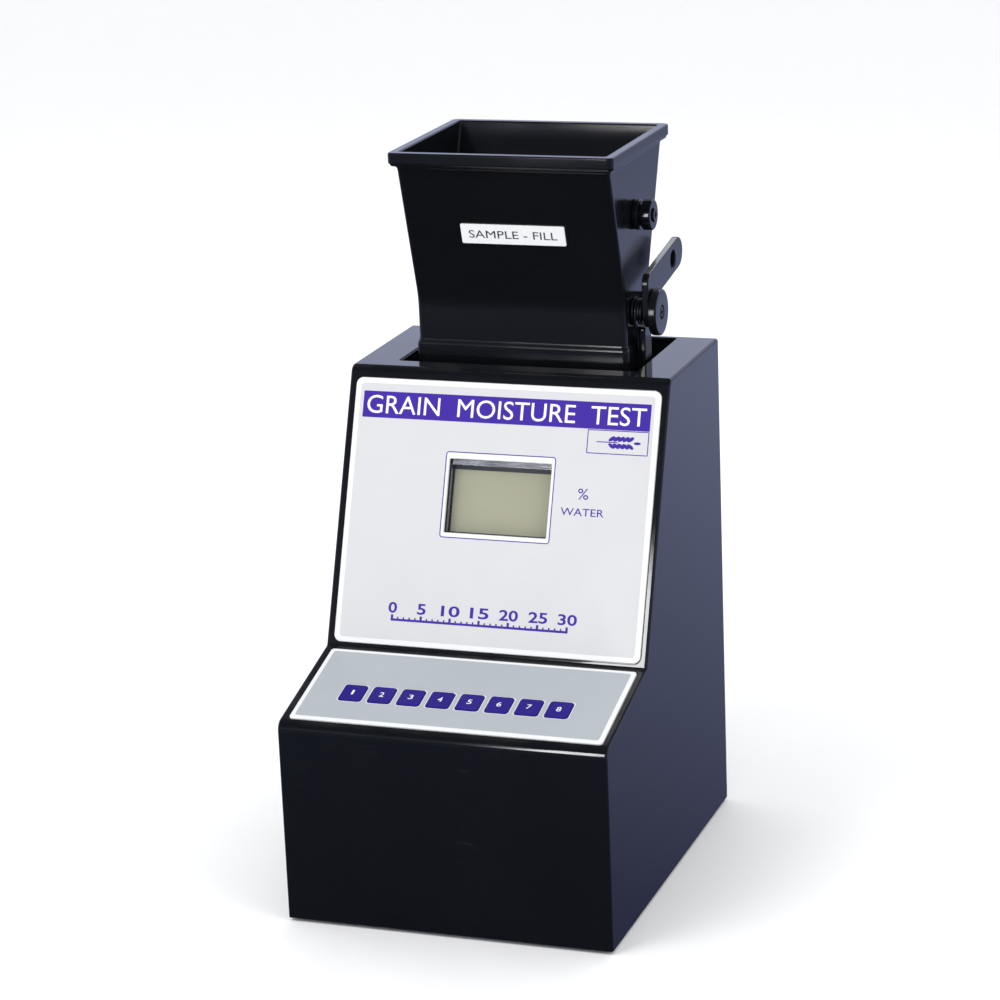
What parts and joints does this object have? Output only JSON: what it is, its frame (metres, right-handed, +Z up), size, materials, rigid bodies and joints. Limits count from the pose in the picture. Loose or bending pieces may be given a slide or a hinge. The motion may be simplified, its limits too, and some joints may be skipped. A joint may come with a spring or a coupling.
{
  "type": "grain moisture meter",
  "caption": "Table-top grain moisture meter: sloped display face, numbered key row, and a lift-off hopper whose sprung lever gate drops the sample into a test cell.",
  "frame": {"origin": "centre of the whole object's footprint, at the underside of the rubber feet", "axes": "+Z up, +X to the right seen from the front, -Y to the front where the keys and display face"},
  "size_m": [0.185, 0.236, 0.4],
  "materials": {
    "case_black": "high gloss moulded, near black",
    "hopper_enamel": "high gloss stove enamel, near black",
    "panel_white": "satin printed overlay, cool white",
    "panel_grey": "satin printed overlay, pale grey",
    "key_violet": "satin moulded keys, deep violet blue",
    "lcd_grey": "reflective liquid crystal display, olive grey",
    "dark_metal": "dark bright-edged metal",
    "steel": "brushed steel",
    "brass": "rolled brass",
    "rubber": "black rubber",
    "black_plastic": "fine-grained black plastic",
    "board_green": "green solder-masked circuit board",
    "insulator_white": "white insulating plastic",
    "battery_sleeve": "plain dark blue printed sleeve",
    "silicone_grey": "grey silicone rubber"
  },
  "bodies": {
    "case": {"case_shell": "case_black", "display_panel": "panel_white", "keypad_panel": "panel_grey", "lcd_glass": "lcd_grey", "lcd_bezel": "dark_metal", "well_liner": "dark_metal", "base_plate": "steel", "cell_body": "steel", "cell_bracket": "steel", "temperature_sensor": "steel", "foot_screw_1": "steel", "foot_screw_2": "steel", "foot_screw_3": "steel", "foot_screw_4": "steel", "cell_electrode": "brass", "foot_1": "rubber", "foot_2": "rubber", "foot_3": "rubber", "foot_4": "rubber", "battery_tray": "black_plastic", "power_switch_body": "black_plastic", "dc_socket": "black_plastic", "main_board": "board_green", "display_board": "board_green", "keypad_board": "board_green", "cell_insulator": "insulator_white", "battery_1": "battery_sleeve", "battery_2": "battery_sleeve", "battery_3": "battery_sleeve", "battery_4": "battery_sleeve", "keypad_mat": "silicone_grey"},
    "hopper": {"hopper_body": "hopper_enamel", "hopper_label": "panel_white", "bush_left": "dark_metal", "bush_right": "dark_metal", "return_spring": "dark_metal", "spring_block": "hopper_enamel", "lever_rest_pin": "steel", "lever_stop": "hopper_enamel", "lever_stop_screw": "hopper_enamel"},
    "gate": {"gate_flap": "steel", "gate_shaft": "steel", "gate_screw_1": "steel", "gate_screw_2": "steel", "release_lever": "hopper_enamel", "lever_disc": "hopper_enamel", "lever_screw": "hopper_enamel"},
    "key_1": {"key_1": "key_violet"},
    "key_2": {"key_2": "key_violet"},
    "key_3": {"key_3": "key_violet"},
    "key_4": {"key_4": "key_violet"},
    "key_5": {"key_5": "key_violet"},
    "key_6": {"key_6": "key_violet"},
    "key_7": {"key_7": "key_violet"},
    "key_8": {"key_8": "key_violet"},
    "battery_door": {"battery_door": "black_plastic"},
    "power_rocker": {"power_rocker": "black_plastic"}
  },
  "joints": [
    {"name": "hopper_lift", "type": "slide", "parent": "case", "child": "hopper", "axis": [0, 0, 1], "range_m": [0, 0.12]},
    {"name": "gate_turn", "type": "hinge", "parent": "hopper", "child": "gate", "pos_m": [0, 0.053, 0.307], "axis": [1, 0, 0], "range_deg": [0, 35], "stiffness_Nm_per_rad": 0.12, "springref_deg": -20.05},
    {"name": "battery_door_hinge", "type": "hinge", "parent": "case", "child": "battery_door", "pos_m": [0, 0.1083, 0.1058], "axis": [1, 0, 0], "range_deg": [0, 100]},
    {"name": "power_rocker_tip", "type": "hinge", "parent": "case", "child": "power_rocker", "pos_m": [-0.06, 0.1098, 0.088], "axis": [0, 0, 1], "range_deg": [-16, 0]},
    {"name": "key_1_press", "type": "slide", "parent": "case", "child": "key_1", "axis": [0, 0.2538, -0.9673], "range_m": [0, 0.0007], "stiffness_N_per_m": 300},
    {"name": "key_2_press", "type": "slide", "parent": "case", "child": "key_2", "axis": [0, 0.2538, -0.9673], "range_m": [0, 0.0007], "stiffness_N_per_m": 300},
    {"name": "key_3_press", "type": "slide", "parent": "case", "child": "key_3", "axis": [0, 0.2538, -0.9673], "range_m": [0, 0.0007], "stiffness_N_per_m": 300},
    {"name": "key_4_press", "type": "slide", "parent": "case", "child": "key_4", "axis": [0, 0.2538, -0.9673], "range_m": [0, 0.0007], "stiffness_N_per_m": 300},
    {"name": "key_5_press", "type": "slide", "parent": "case", "child": "key_5", "axis": [0, 0.2538, -0.9673], "range_m": [0, 0.0007], "stiffness_N_per_m": 300},
    {"name": "key_6_press", "type": "slide", "parent": "case", "child": "key_6", "axis": [0, 0.2538, -0.9673], "range_m": [0, 0.0007], "stiffness_N_per_m": 300},
    {"name": "key_7_press", "type": "slide", "parent": "case", "child": "key_7", "axis": [0, 0.2538, -0.9673], "range_m": [0, 0.0007], "stiffness_N_per_m": 300},
    {"name": "key_8_press", "type": "slide", "parent": "case", "child": "key_8", "axis": [0, 0.2538, -0.9673], "range_m": [0, 0.0007], "stiffness_N_per_m": 300}
  ]
}
